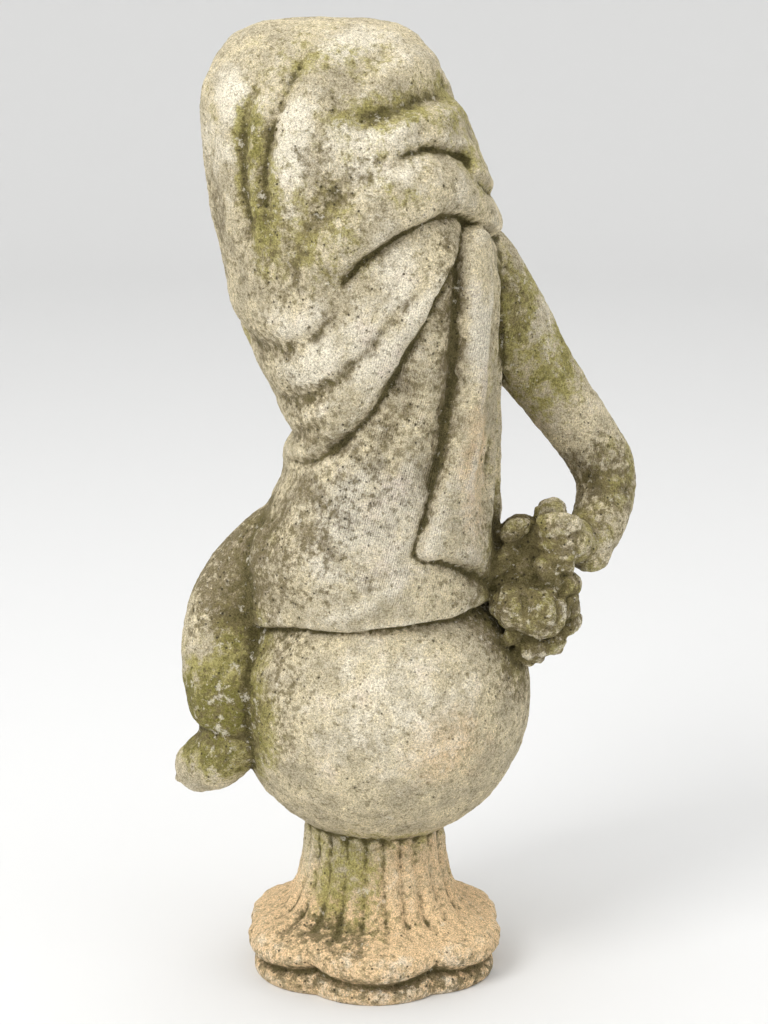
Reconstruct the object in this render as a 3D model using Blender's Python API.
# Garden statue of a cloaked child seated on a ball, on a fluted foot, cast in one piece.
# Metres, +Z up. The origin is the centre of the foot's underside. The back of the
# figure looks towards -Y, and the face towards +Y.

import math

import bmesh
import bpy
import numpy as np
from mathutils import Matrix, Vector

# Driving sizes, in metres.
FOOT_HEIGHT = 0.120  # floor to where the neck of the foot meets the ball
SLAB_RADIUS = 0.099
SLAB_HEIGHT = 0.011
GROOVE_DEPTH = 0.004  # the line between slab and lip, measured in from the slab
LIP_RADIUS = 0.106
LIP_RISE = 0.018  # slab to the widest line of the lip
SHOULDER_RISE = 0.034  # slab to where the flutes begin
NECK_RADIUS = 0.0555
BALL_RADIUS = 0.119
BALL_SHIFT = 0.005  # the ball was cast a little off the foot's axis
SEATED_HEIGHT = 0.406  # top of the ball to the crown of the hood
HEM_BLEND = 0.009  # folds die away within this distance of the ball

# The foot's pattern.
LOBES = 6  # one of them faces straight back
LOBE_DEPTH = 0.008
FLUTES = 24
FLUTE_DEPTH = 0.0036
STEPS_PER_FLUTE = 3

# Fineness of the solid.
VOXEL = 0.0042
KEPT_FACES = 0.08  # share of the modelled faces that the figure keeps
TUBE_SIDES = 16
SMOOTH_TURNS = 4

STONE = (0.56, 0.52, 0.42, 1.0)
STONE_ROUGHNESS = 0.95

# The figure is given in hundredths of its seated height, from the top of the ball:
# x to the right as its back is seen, y towards the face, z up.
UNIT = SEATED_HEIGHT / 100
BALL_DROP = math.sqrt(BALL_RADIUS**2 - NECK_RADIUS**2)
BALL_CENTRE = Vector((BALL_SHIFT, 0, FOOT_HEIGHT + BALL_DROP))
SEAT = BALL_CENTRE + Vector((0, 0, BALL_RADIUS))
NECK_OVERLAP = 0.012  # how far the foot runs up into the ball

# Cloak outline, bottom to top: height, left, right, back and front of each level.
CLOAK = [
    (-1, -26.5, 22.4, 25.2, 17.0),
    (4, -24.0, 22.2, 25.4, 17.0),
    (9, -21.2, 22.0, 25.0, 17.0),
    (15.4, -18.6, 22.0, 24.4, 16.0),
    (19.2, -18.6, 22.0, 23.8, 15.0),
    (23.4, -16.2, 22.0, 23.4, 13.5),
    (26.3, -18.6, 22.0, 23.4, 12.5),
    (33, -21.7, 22.0, 23.5, 11.5),
    (40.7, -24.7, 22.0, 24.2, 10.5),
    (47.4, -27.8, 22.2, 24.8, 9.5),
    (57, -29.8, 22.6, 25.0, 9.0),
    (66, -31.1, 21.0, 24.6, 9.0),
    (75.6, -32.3, 18.3, 23.0, 10.0),
    (84.7, -32.9, 14.6, 20.4, 10.5),
    (89.4, -31.9, 12.3, 17.8, 10.5),
    (94, -29.6, 9.2, 14.0, 10.0),
    (97.5, -26.0, 5.8, 9.5, 8.0),
    (99.4, -21.0, 1.2, 4.8, 4.5),
]
CROWN = Vector((-10.5, 0, 100))
CLOAK_SQUARENESS = 2.25
# The hem on the ball: bearing round it, angle down from its top, stand-off in units.
HEM = [
    (-180, 60, 1.6),
    (-150, 59, 2.0),
    (-130, 55.5, 2.2),
    (-90, 53.5, 2.2),
    (-57, 50, 2.4),
    (-25, 43, 3.6),
    (0, 40, 4.0),
    (40, 38, 2.0),
    (90, 38, 1.0),
    (140, 48, 1.0),
    (180, 60, 1.6),
]

# Limbs: (x, y, z, radius) along each centre line.
RIGHT_ARM = [
    (14, 3, 56, 9.5),
    (18, 5, 52, 9.2),
    (24, 6, 43.5, 8.3),
    (29.5, 6, 34.4, 7.4),
    (35.7, 6, 25.8, 6.6),
    (42, 6, 16.8, 6.2),
    (43.8, 5, 10.8, 5.9),
    (42.3, 0, 5.2, 5.4),
    (39.6, -4, 1.0, 4.9),
]
LEFT_ARM = [
    (-19, 3, 52, 8.4),
    (-18.5, 7, 43, 8.0),
    (-16.5, 14, 37, 7.0),
    (-12, 19, 41, 5.6),
    (-8.5, 20.5, 45, 4.8),
]
# The legs lie on the ball: given in hundredths of its radius, from its centre.
LEFT_LEG = [
    (-42, -6, 108, 36.5),
    (-72, -3, 84, 35.5),
    (-93, -5, 56, 34.5),
    (-99, -18, 25, 32),
    (-98, -27, 0, 28),
    (-96, -31, -16, 23),
]
LEFT_FOOT = [
    (-93, -35, -23, 19),
    (-106, -28, -36, 21),
    (-118, -19, -46, 18.5),
    (-124, -9, -49, 14.5),
]
RIGHT_LEG = [
    (34, 10, 117, 43),
    (43, 55, 113, 39.5),
    (44, 95, 96, 33),
    (40, 114, 59, 28),
    (34, 114, 21, 24),
    (31, 109, -9, 20),
]
RIGHT_FOOT = [
    (30, 104, -23, 18.5),
    (33, 124, -33, 18.5),
    (38, 143, -40, 15.5),
]

# Rounded masses: centre, then half sizes.
TORSO = [
    ((1, 2, 14), (19, 16.5, 17)),  # hips
    ((1.5, 6, 22), (16.5, 14.5, 15)),  # belly
    ((-5, 8, 33), (11, 8, 9)),  # under the held cloak
    ((-1, 5, 44), (17.5, 12, 13)),  # chest
    ((-3, 3, 55), (19, 10, 8)),  # shoulders
    ((-8.5, 4, 60), (7, 7, 7)),  # neck
]
HEAD = [
    ((-9, 2.5, 77.5), (15.5, 16, 17.5)),  # skull
    ((-9, 9.5, 71), (12, 10.5, 12)),  # face
    ((-14.5, 13.5, 68), (5.6, 5.2, 5.6)),  # cheek
    ((-3.5, 13.5, 68), (5.6, 5.2, 5.6)),  # cheek
    ((-9, 14.6, 61.5), (5, 4.6, 4.4)),  # chin
    ((-9, 20.2, 69.4), (2.3, 2.4, 2.2)),  # nose tip
    ((-9, 18.2, 73), (1.8, 2.2, 5)),  # nose bridge
    ((-9, 18.3, 65), (3.6, 1.9, 1.6)),  # lips
    ((-13.6, 15.2, 74), (2.7, 2.9, 2.3)),  # eye
    ((-4.4, 15.2, 74), (2.7, 2.9, 2.3)),  # eye
    ((-9, 15.4, 79.5), (9.5, 2.8, 2.6)),  # brow
]
RIGHT_HAND = [
    ((36.0, -7.5, 2.6), (5.0, 4.4, 4.6)),  # back of the hand
    ((40.2, -3.6, -0.4), (4.4, 4.6, 4.2)),  # heel of the hand
    ((31.4, -8.6, 1.6), (2.6, 2.6, 3.8)),  # fingers
    ((32.6, -2.6, 8.4), (2.4, 2.4, 2.9)),  # bud
]
LEFT_HAND = [
    ((-6.5, 22, 46.5), (4.6, 3.8, 3.8)),
    ((-3.0, 22.6, 46.2), (2.4, 2.6, 3.4)),
]
BOUQUET = [
    ((26.8, -4.5, 2.4), (4.6, 4.6, 4.4)),
    ((27.6, -7.5, -3.4), (5.0, 5.0, 4.8)),
    ((25.6, -12.5, -8.8), (4.2, 4.2, 4.4)),
    ((30.2, -12.0, -10.4), (5.6, 5.0, 5.2)),
    ((34.0, -7.5, -6.6), (4.4, 4.6, 4.8)),
    ((34.6, -7.0, -13.0), (3.7, 4.0, 3.8)),
    ((30.2, -8.5, -17.6), (4.6, 4.4, 4.0)),
    ((30.5, -2.0, -9.0), (5.0, 5.4, 6.0)),
    ((28.5, 1.5, -3.0), (4.4, 4.6, 5.2)),
]
# The loose end of the cloak, in three pleats over the lap and between the legs.
LAP_PLEATS = [
    [(-9, 18, 42, 3.4), (-9.5, 17.5, 33, 4), (-8, 19, 22, 4.2), (-6, 20, 12, 4.4),
     (-5, 20.5, 4, 4.4), (-5.5, 19.5, -4, 4.4), (-6, 24, -12, 3.8), (-6, 27.4, -18, 3)],
    [(-6, 19.5, 41, 3), (-5, 18.8, 32, 4), (-3, 20.5, 21, 4.4), (-1.5, 21.5, 12, 4.6),
     (-1, 22, 4, 4.6), (-1.5, 21, -4, 4.4), (-2, 25, -11, 3.8), (-2.5, 27.8, -16, 3)],
    [(-3.5, 18.5, 40, 2.8), (-1, 17.6, 31, 3.6), (1, 19, 20, 4), (2.5, 20, 11, 4.2),
     (2.5, 20.5, 3.5, 4.2), (1.5, 19.5, -4, 4), (1, 23.5, -10, 3.2), (0.5, 26.2, -14.5, 2.8)],
]
# Front edges of the cloak, from the hood down each side of the chest.
CLOAK_EDGES = [
    [(-1, 11, 61, 3.4), (8, 9, 60, 3.2), (15.5, 7, 57, 3.0), (18.8, 7.5, 48, 3.0),
     (19.2, 7.5, 36, 3.0), (19.2, 9, 24, 3.0), (19.4, 10, 12, 3.0), (19.6, 10, 3, 3.0)],
    [(-18, 9, 62, 3.6), (-18.5, 10, 55, 3.6), (-14.5, 13, 50, 3.4), (-9.5, 17, 47, 3.2)],
]
HOOD_RIM_CENTRE = Vector((-9.5, 9.5, 75))
HOOD_RIM = (17.2, 19.5)  # half width and half height of the opening's edge
HOOD_RIM_RADIUS = 4.8
HOOD_RIM_LEAN = 1.5  # the brow of the hood stands further forward than its sides

# Drapery, as lines seen from the back: points (x, z), then width and height.
GROOVES = [
    ([(-13.9, 94.3), (-16.7, 89.8), (-19.1, 84.6), (-20.2, 78.1), (-21.0, 71.9)], 2.0, 1.7),
    ([(-21.9, 88), (-23.2, 83), (-24.0, 77), (-24.4, 68.4), (-23.5, 59)], 2.4, 1.0),
    ([(17.5, 88), (9.7, 86.7), (3.6, 85.1), (-1.7, 82.8), (-6.2, 80.2)], 3.0, 1.5),
    ([(10.6, 90.8), (12.2, 88.1), (14.5, 85.1), (16.1, 81.9)], 1.1, 1.0),
    ([(13.4, 34), (11.8, 27), (9.8, 19.3), (7.6, 10.9), (5.6, 3.2)], 2.6, 1.0),
]
RIDGES = [
    ([(-10, 92), (-15.6, 84), (-18.8, 77), (-20.6, 68)], 2.0, 0.9),
    ([(0, 95), (-6, 89), (-10, 83), (-12, 77)], 3.6, 1.1),
    ([(15.5, 82.6), (8, 81.4), (2, 80), (-3, 77.6)], 2.4, 1.0),
    ([(8, 52), (1, 42), (-6, 33), (-13, 27)], 4.2, 1.2),
]
# Edges of overlapping cloth: the side to the left of the way of travel stands higher.
EDGES = [
    ([(19.5, 70.5), (16.0, 74), (12.8, 76.3), (8.5, 77.7), (4.5, 77.9), (1.2, 76.8)], 6.0, 1.6, -1),
    (
        [(19.5, 63.5), (15.7, 65.9), (12.5, 66.2), (8.1, 64.8), (3.6, 62.7), (-0.9, 60),
         (-4.3, 57.3), (-7.5, 53)],
        8.0, 2.4, -1,
    ),
    (
        [(17.5, 62), (12, 53.7), (9, 46.8), (5.1, 39.2), (0.7, 32.2), (-3.6, 27.1),
         (-7.6, 23.6), (-12.4, 20.8), (-19, 19.4)],
        7.0, 1.8, -1,
    ),
    (
        [(19.6, 64.5), (16.8, 61.2), (15.8, 57.3), (15.7, 50.5), (15.5, 41.4), (14.9, 33.2),
         (13.5, 26.7), (11.7, 19.3), (9.5, 10.9), (7.5, 3.2), (11.9, 2.0), (15.6, 0.9),
         (18.8, -1.0), (22.5, -5)],
        9.0, 2.8, 1,
    ),
]
EDGE_SHARPNESS = 0.55
END_FADE = 0.14  # share of a fold's length over which it dies away


# Curves through chosen points

def spline(rows, per_span):
    """Catmull-Rom curve through the rows, which may hold any number of values each."""
    rows = np.array(rows, float)
    padded = np.vstack([2 * rows[0] - rows[1], rows, 2 * rows[-1] - rows[-2]])
    out = []
    for i in range(1, len(padded) - 2):
        a, b, c, d = padded[i - 1 : i + 3]
        for t in np.arange(per_span) / per_span:
            out.append(
                0.5 * (2 * b + (c - a) * t + (2 * a - 5 * b + 4 * c - d) * t**2
                       + (3 * b - a - 3 * c + d) * t**3)
            )
    out.append(rows[-1])
    return np.array(out)


def smoothstep(low, high, value):
    t = np.clip((value - low) / (high - low), 0, 1)
    return t * t * (3 - 2 * t)


def placed(x, y, z):
    """A point of the figure, in metres."""
    return SEAT + Vector((x, y, z)) * UNIT


def on_ball(x, y, z, radius):
    """A row of a leg, turned from hundredths of the ball's radius into figure units."""
    scale = BALL_RADIUS / 100 / UNIT
    return (x * scale, y * scale, z * scale - BALL_RADIUS / UNIT, radius * scale)


# Closed shapes

def skin(bm, rings, first_pole, last_pole):
    """Joins equal rings into one closed surface with a point at each end."""
    rows = [[bm.verts.new(point) for point in ring] for ring in rings]
    count = len(rows[0])
    for low, high in zip(rows, rows[1:]):
        for i in range(count):
            j = (i + 1) % count
            bm.faces.new((low[i], low[j], high[j], high[i]))
    first, last = bm.verts.new(first_pole), bm.verts.new(last_pole)
    for i in range(count):
        j = (i + 1) % count
        bm.faces.new((first, rows[0][j], rows[0][i]))
        bm.faces.new((last, rows[-1][i], rows[-1][j]))


def add_tube(bm, rows):
    """A limb: a round tube with domed ends along (x, y, z, radius) rows in figure units."""
    path = spline(rows, 5)
    centres = [placed(*row[:3]) for row in path]
    radii = [row[3] * UNIT for row in path]
    tangents = [
        (centres[min(i + 1, len(path) - 1)] - centres[max(i - 1, 0)]).normalized()
        for i in range(len(path))
    ]
    side = tangents[0].orthogonal().normalized()
    rings = []
    dome = [math.radians(a) for a in (70, 45, 20)]
    stations = [(0, -math.sin(a), math.cos(a)) for a in dome]
    stations += [(i, 0, 1) for i in range(len(path))]
    stations += [(len(path) - 1, math.sin(a), math.cos(a)) for a in reversed(dome)]
    for i, along, share in stations:
        side = (side - side.dot(tangents[i]) * tangents[i]).normalized()
        across = tangents[i].cross(side)
        middle = centres[i] + tangents[i] * radii[i] * along
        rings.append([
            middle + (side * math.cos(a) + across * math.sin(a)) * radii[i] * share
            for a in np.linspace(0, 2 * math.pi, TUBE_SIDES, endpoint=False)
        ])
    skin(bm, rings, centres[0] - tangents[0] * radii[0], centres[-1] + tangents[-1] * radii[-1])


def add_mass(bm, centre, half_sizes):
    """A rounded mass of the body: an ellipsoid in figure units."""
    matrix = Matrix.Translation(placed(*centre)) @ Matrix.Diagonal((*half_sizes, 1 / UNIT)) * UNIT
    bmesh.ops.create_uvsphere(bm, u_segments=20, v_segments=14, radius=1, matrix=matrix)


def oval(z, left, right, back, front, count=48):
    """One level of the cloak: a squared oval, in figure units."""
    points = []
    for angle in np.linspace(0, 2 * math.pi, count, endpoint=False):
        c, s = math.cos(angle), math.sin(angle)
        power = 2 / CLOAK_SQUARENESS
        x = (left + right) / 2 + (right - left) / 2 * math.copysign(abs(c) ** power, c)
        depth = front if s > 0 else back
        points.append(placed(x, depth * math.copysign(abs(s) ** power, s), z))
    return points


def hem_ring(depth, share, count=48):
    """A ring of the cloak on the ball: how far out of its hem line, and up it."""
    bearing, polar, stand_off = np.array(HEM).T
    points = []
    for angle in np.linspace(0, 2 * math.pi, count, endpoint=False):
        turn = math.degrees(math.remainder(angle, 2 * math.pi))
        down = math.radians(np.interp(turn, bearing, polar)) * share
        reach = BALL_RADIUS + depth * np.interp(turn, bearing, stand_off) * UNIT
        flat = reach * math.sin(down)
        offset = (flat * math.cos(angle), flat * math.sin(angle), reach * math.cos(down))
        points.append(BALL_CENTRE + Vector(offset))
    return points


def add_cloak(bm):
    rings = [hem_ring(-1, 0.9), hem_ring(1, 1)]
    rings += [oval(*level) for level in spline(CLOAK, 3)]
    skin(bm, rings, BALL_CENTRE, placed(*CROWN))


def add_hood_rim(bm):
    """The rolled edge of the hood round the face, open under the chin."""
    rows = []
    for angle in np.radians(np.linspace(-58, 238, 15)):
        x = HOOD_RIM_CENTRE.x + HOOD_RIM[0] * math.cos(angle)
        y = HOOD_RIM_CENTRE.y + HOOD_RIM_LEAN * math.sin(angle)
        z = HOOD_RIM_CENTRE.z + HOOD_RIM[1] * math.sin(angle)
        rows.append((x, y, z, HOOD_RIM_RADIUS))
    add_tube(bm, rows)


# Carving: the surface is moved along its normals

def nearest_on_line(points, line):
    """Distance, side (positive to the left of travel) and share of length, for each point."""
    lengths = np.linalg.norm(np.diff(line, axis=0), axis=1)
    starts = np.concatenate([[0], np.cumsum(lengths)])
    best = np.full(len(points), 1e9)
    side = np.zeros(len(points))
    share = np.zeros(len(points))
    for a, b, length, start in zip(line, line[1:], lengths, starts):
        along = (b - a) / length
        offset = points - a
        t = np.clip(offset @ along, 0, length)
        distance = np.linalg.norm(offset - t[:, None] * along, axis=1)
        closer = distance < best
        best[closer] = distance[closer]
        side[closer] = np.sign(along[0] * offset[closer, 1] - along[1] * offset[closer, 0])
        share[closer] = (start + t[closer]) / starts[-1]
    return best, side, share


def fade(share):
    return smoothstep(0, END_FADE, share) * smoothstep(1, 1 - END_FADE, share)


def carved_depth(points):
    """How far the drapery's carving lifts each point, given as (x, z) in figure units."""
    lift = np.zeros(len(points))
    for signed, lines in ((-1, GROOVES), (1, RIDGES)):
        for line, width, height in lines:
            distance, _, share = nearest_on_line(points, spline(line, 4))
            lift += signed * height * np.exp(-((distance / width) ** 2)) * fade(share)
    for line, reach, height, raised in EDGES:
        distance, side, share = nearest_on_line(points, spline(line, 4))
        signed = distance * side * raised
        step = smoothstep(-EDGE_SHARPNESS, EDGE_SHARPNESS, signed)
        near = np.exp(-((distance / reach) ** 2)) * fade(share)
        lift += height * (step - 0.35) * near
    return lift


def carve(mesh):
    """Cuts the folds into the figure's back."""
    count = len(mesh.vertices)
    places = np.empty(count * 3)
    mesh.vertices.foreach_get("co", places)
    places = places.reshape(-1, 3)
    normals = np.empty(count * 3)
    mesh.vertices.foreach_get("normal", normals)
    normals = normals.reshape(-1, 3)
    figure = (places - np.array(SEAT)) / UNIT
    turned = smoothstep(0.25, -0.25, normals[:, 1])
    off_ball = np.linalg.norm(places - np.array(BALL_CENTRE), axis=1) - BALL_RADIUS
    on_cloth = smoothstep(0, HEM_BLEND, off_ball) * (figure[:, 0] < 24)
    lift = carved_depth(figure[:, [0, 2]]) * turned * on_cloth * UNIT
    mesh.vertices.foreach_set("co", (places + normals * lift[:, None]).ravel())
    mesh.update()


# The pieces

def stone_material():
    material = bpy.data.materials.new("cast_stone")
    material.use_nodes = True
    shader = material.node_tree.nodes["Principled BSDF"]
    shader.inputs["Base Color"].default_value = STONE
    shader.inputs["Roughness"].default_value = STONE_ROUGHNESS
    shader.inputs["Metallic"].default_value = 0.0
    material.diffuse_color = STONE
    return material


def new_object(name, bm):
    bmesh.ops.recalc_face_normals(bm, faces=bm.faces)
    mesh = bpy.data.meshes.new(name)
    bm.to_mesh(mesh)
    bm.free()
    obj = bpy.data.objects.new(name, mesh)
    bpy.context.scene.collection.objects.link(obj)
    return obj


def evaluated_mesh(obj):
    graph = bpy.context.evaluated_depsgraph_get()
    return bpy.data.meshes.new_from_object(obj.evaluated_get(graph))


def keep_outer_skin(mesh):
    """Drops the small closed pockets left inside, so that the figure is one body."""
    bm = bmesh.new()
    bm.from_mesh(mesh)
    unseen = set(bm.verts)
    groups = []
    while unseen:
        group = set()
        edge = {unseen.pop()}
        while edge:
            group |= edge
            edge = {e.other_vert(v) for v in edge for e in v.link_edges} - group
        unseen -= group
        groups.append(group)
    groups.sort(key=len)
    for group in groups[:-1]:
        bmesh.ops.delete(bm, geom=list(group), context="VERTS")
    bm.to_mesh(mesh)
    bm.free()


def make_figure():
    """Child and cloak: the masses are fused, softened, carved, and then thinned out."""
    bm = bmesh.new()
    add_cloak(bm)
    add_hood_rim(bm)
    for roll in (RIGHT_ARM, LEFT_ARM, *LAP_PLEATS, *CLOAK_EDGES):
        add_tube(bm, roll)
    for limb in (LEFT_LEG, LEFT_FOOT, RIGHT_LEG, RIGHT_FOOT):
        add_tube(bm, [on_ball(*row) for row in limb])
    for masses in (TORSO, HEAD, RIGHT_HAND, LEFT_HAND, BOUQUET):
        for centre, half_sizes in masses:
            add_mass(bm, centre, half_sizes)
    figure = new_object("statue", bm)
    remesh = figure.modifiers.new("fuse", "REMESH")
    remesh.mode = "VOXEL"
    remesh.voxel_size = VOXEL
    soften = figure.modifiers.new("soften", "SMOOTH")
    soften.factor = 0.5
    soften.iterations = SMOOTH_TURNS
    figure.data = evaluated_mesh(figure)
    figure.modifiers.clear()
    keep_outer_skin(figure.data)
    carve(figure.data)
    thin = figure.modifiers.new("thin", "DECIMATE")
    thin.ratio = KEPT_FACES
    return figure


def make_ball():
    bm = bmesh.new()
    matrix = Matrix.Translation(BALL_CENTRE)
    bmesh.ops.create_uvsphere(bm, u_segments=36, v_segments=20, radius=BALL_RADIUS, matrix=matrix)
    return new_object("ball", bm)


def foot_profile():
    """Rows of radius, height, share of the lobes and share of the flutes, floor upwards."""
    lip = SLAB_HEIGHT + LIP_RISE
    shoulder = SLAB_HEIGHT + SHOULDER_RISE
    waist = shoulder + 0.45 * (FOOT_HEIGHT - shoulder)
    swell = LIP_RADIUS - NECK_RADIUS
    return [
        (SLAB_RADIUS, 0.0, 1, 0),
        (SLAB_RADIUS, SLAB_HEIGHT, 1, 0),
        (SLAB_RADIUS - GROOVE_DEPTH, SLAB_HEIGHT + 0.001, 1, 0),
        (SLAB_RADIUS - GROOVE_DEPTH, SLAB_HEIGHT + 0.004, 1, 0),
        (LIP_RADIUS - 0.06 * swell, (lip + SLAB_HEIGHT) / 2 + 0.001, 1, 0),
        (LIP_RADIUS, lip, 1, 0.1),
        (LIP_RADIUS - 0.08 * swell, (lip + shoulder) / 2, 1, 0.3),
        (NECK_RADIUS + 0.62 * swell, shoulder, 0.8, 0.7),
        (NECK_RADIUS + 0.34 * swell, shoulder + 0.2 * (waist - shoulder), 0.4, 1),
        (NECK_RADIUS + 0.2 * swell, shoulder + 0.55 * (waist - shoulder), 0.2, 1),
        (NECK_RADIUS + 0.1 * swell, waist, 0, 1),
        (NECK_RADIUS + 0.03 * swell, (waist + FOOT_HEIGHT) / 2, 0, 0.8),
        (NECK_RADIUS, FOOT_HEIGHT, 0, 0.3),
        (NECK_RADIUS, FOOT_HEIGHT + NECK_OVERLAP, 0, 0),
    ]


def make_foot():
    """Fluted foot with a scalloped lip, on a thin slab of the same plan."""
    bm = bmesh.new()
    angles = np.linspace(0, 2 * math.pi, FLUTES * STEPS_PER_FLUTE, endpoint=False)
    rings = []
    for radius, height, lobed, fluted in foot_profile():
        scallop = LOBE_DEPTH * lobed * (1 - np.abs(np.cos(LOBES / 2 * (angles + math.pi / 2))))
        hollow = FLUTE_DEPTH * fluted * np.abs(np.sin(FLUTES / 2 * angles))
        reach = radius - scallop - hollow
        rings.append([(r * math.cos(a), r * math.sin(a), height) for r, a in zip(reach, angles)])
    skin(bm, rings, (0, 0, 0), (0, 0, FOOT_HEIGHT + NECK_OVERLAP))
    return new_object("foot", bm)


def join_solid(whole, piece):
    """Fuses a piece into the whole and keeps the piece as a hidden guide."""
    union = whole.modifiers.new(f"with_{piece.name}", "BOOLEAN")
    union.operation = "UNION"
    union.object = piece
    piece.hide_render = True
    piece.display_type = "WIRE"


def main():
    for obj in list(bpy.data.objects):
        bpy.data.objects.remove(obj)
    statue = make_figure()
    join_solid(statue, make_ball())
    join_solid(statue, make_foot())
    statue.data.materials.clear()
    statue.data.materials.append(stone_material())


main()
